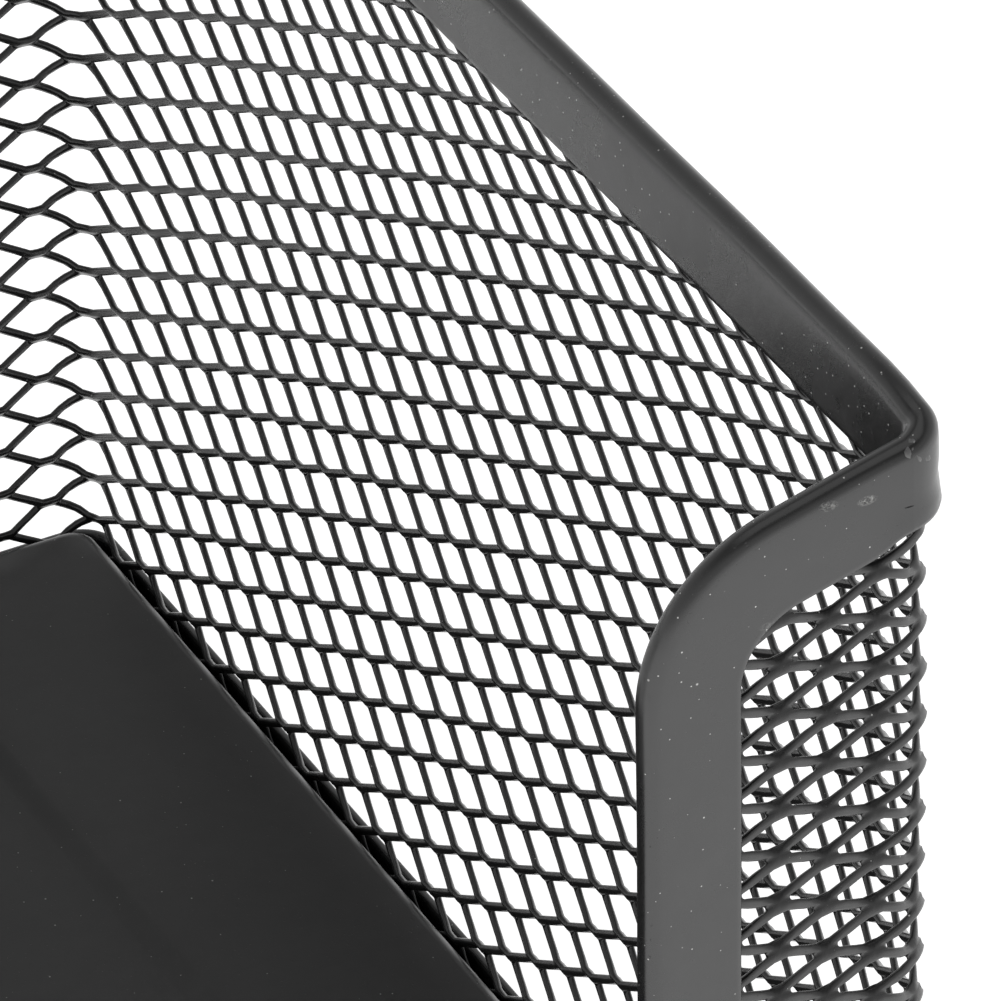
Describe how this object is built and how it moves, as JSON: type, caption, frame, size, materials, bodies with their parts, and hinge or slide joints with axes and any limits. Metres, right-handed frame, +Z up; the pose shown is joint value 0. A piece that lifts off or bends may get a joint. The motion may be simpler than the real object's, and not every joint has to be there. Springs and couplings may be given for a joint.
{
  "type": "mesh desk cup",
  "caption": "Low square open-topped desk cup of black expanded metal mesh with a sheet floor and a wide U-shaped notch in its front wall.",
  "frame": {"origin": "centre of the footprint on the table, at the underside of the bottom channel", "axes": "+Z up, -Y towards the notched front, +X to the right when facing the front from outside"},
  "size_m": [0.1, 0.1004, 0.072],
  "materials": {
    "mesh_coat": "satin black paint over expanded steel, thick and rounded at the strands' bonds",
    "rim_coat": "satin black paint over folded steel channel, with dust specks and small scuffs",
    "pan_coat": "matte black paint over pressed sheet steel",
    "weld_coat": "black paint over rough weld metal"
  },
  "bodies": {
    "root": {"mesh_wrap": "mesh_coat", "rim_front": "rim_coat", "rim_sides_back": "rim_coat", "rim_weld_beads": "weld_coat", "bottom_rim": "rim_coat", "base_pan": "pan_coat", "pan_weld_beads": "weld_coat", "mesh_seam_welds": "weld_coat"}
  },
  "joints": []
}
